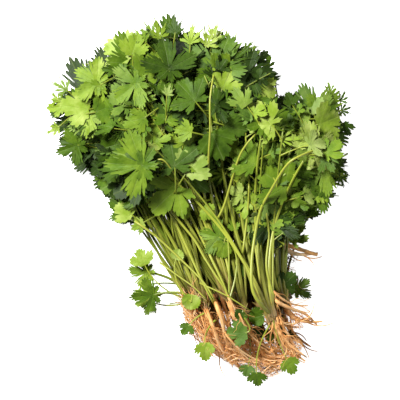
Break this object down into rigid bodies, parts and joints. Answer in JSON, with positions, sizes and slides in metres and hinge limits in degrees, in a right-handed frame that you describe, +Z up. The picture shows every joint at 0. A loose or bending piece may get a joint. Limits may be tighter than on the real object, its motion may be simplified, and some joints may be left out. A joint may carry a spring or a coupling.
{
  "type": "coriander bunch",
  "caption": "Bunch of fresh coriander with its roots on, lying flat: lobed green leaves on slender stalks that gather to short crowns and branching tan roots.",
  "frame": {"origin": "centre of the bunch's footprint, on the surface it lies on", "axes": "+Y runs from the roots to the leaves, +X is to the right seen from above with the leaves at the top, +Z is up"},
  "size_m": [0.274, 0.3311, 0.0759],
  "materials": {
    "top_leaf": "satin",
    "leaf": "satin",
    "deep_leaf": "satin",
    "root": "matte"
  },
  "bodies": {
    "root": {"shoot_01": "top_leaf", "root_01": "root", "shoot_02": "top_leaf", "root_02": "root", "shoot_03": "top_leaf", "root_03": "root", "shoot_04": "leaf", "root_04": "root", "shoot_05": "leaf", "root_05": "root", "shoot_06": "leaf", "root_06": "root", "shoot_07": "leaf", "root_07": "root", "shoot_08": "leaf", "root_08": "root", "shoot_09": "leaf", "root_09": "root", "shoot_10": "deep_leaf", "root_10": "root", "shoot_11": "deep_leaf", "root_11": "root", "shoot_12": "deep_leaf", "root_12": "root", "shoot_13": "deep_leaf", "root_13": "root", "shoot_14": "deep_leaf", "root_14": "root", "shoot_15": "deep_leaf", "root_15": "root"}
  },
  "joints": []
}
